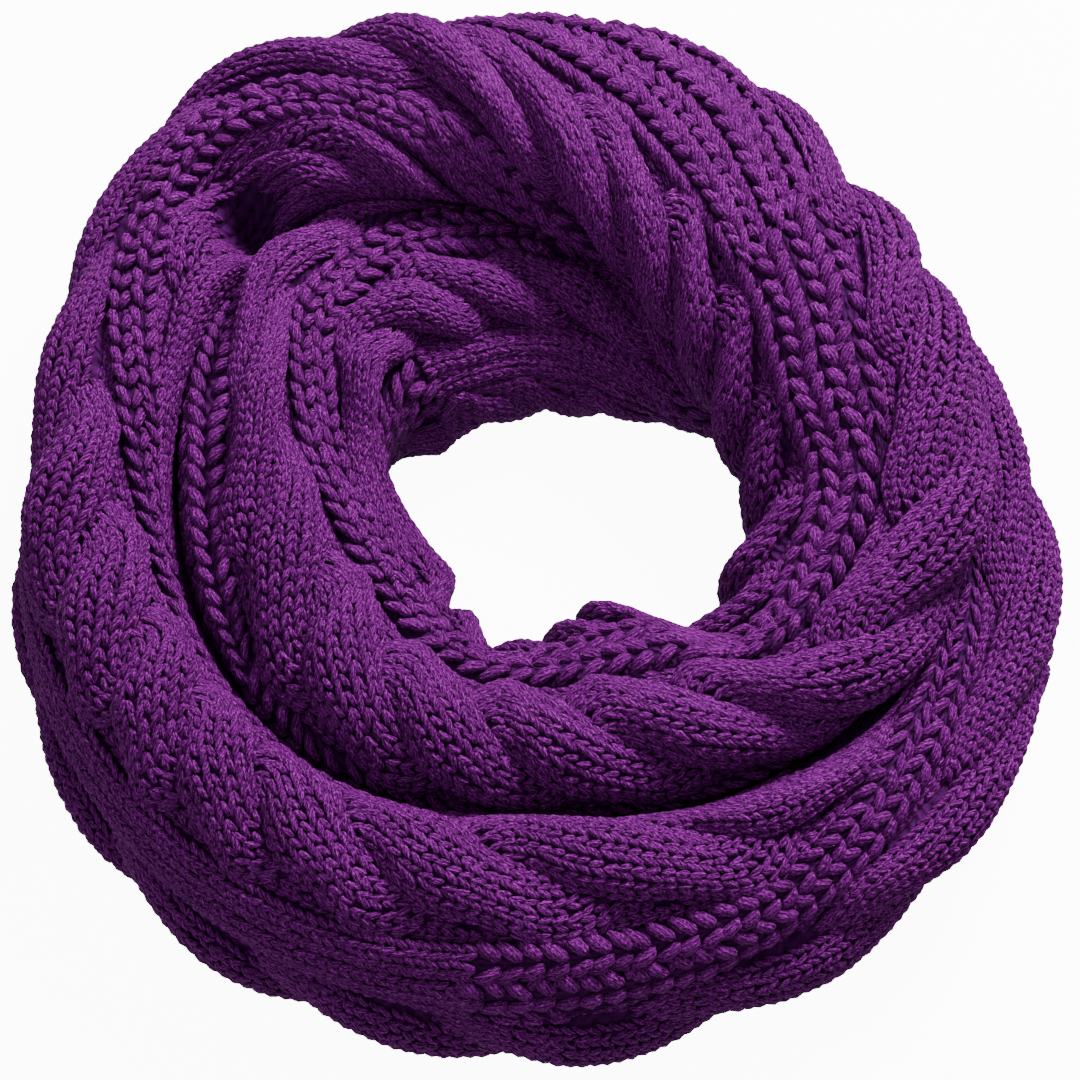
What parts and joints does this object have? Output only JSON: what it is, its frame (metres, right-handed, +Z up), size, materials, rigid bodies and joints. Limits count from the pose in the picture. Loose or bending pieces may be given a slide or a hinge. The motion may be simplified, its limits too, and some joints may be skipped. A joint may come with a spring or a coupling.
{
  "type": "cable knit infinity scarf",
  "caption": "Chunky cable knit infinity scarf, a joined knitted loop wound on itself and laid flat, with rope cables between rib columns round an open neck hole.",
  "frame": {"origin": "on the surface that the scarf lies on, under the middle of its plan outline", "axes": "+Z up from the surface, +Y towards the back, where the second turn crosses over the first, +X to the right seen from the front"},
  "size_m": [0.3528, 0.368, 0.092],
  "materials": {
    "yarn": "matt chunky acrylic yarn, slightly fuzzy"
  },
  "bodies": {
    "root": {"turn_1_left": "yarn", "turn_1_front": "yarn", "turn_1_right": "yarn", "turn_1_back": "yarn", "turn_2_left": "yarn", "turn_2_front": "yarn", "turn_2_right": "yarn", "turn_2_back": "yarn"}
  },
  "joints": []
}
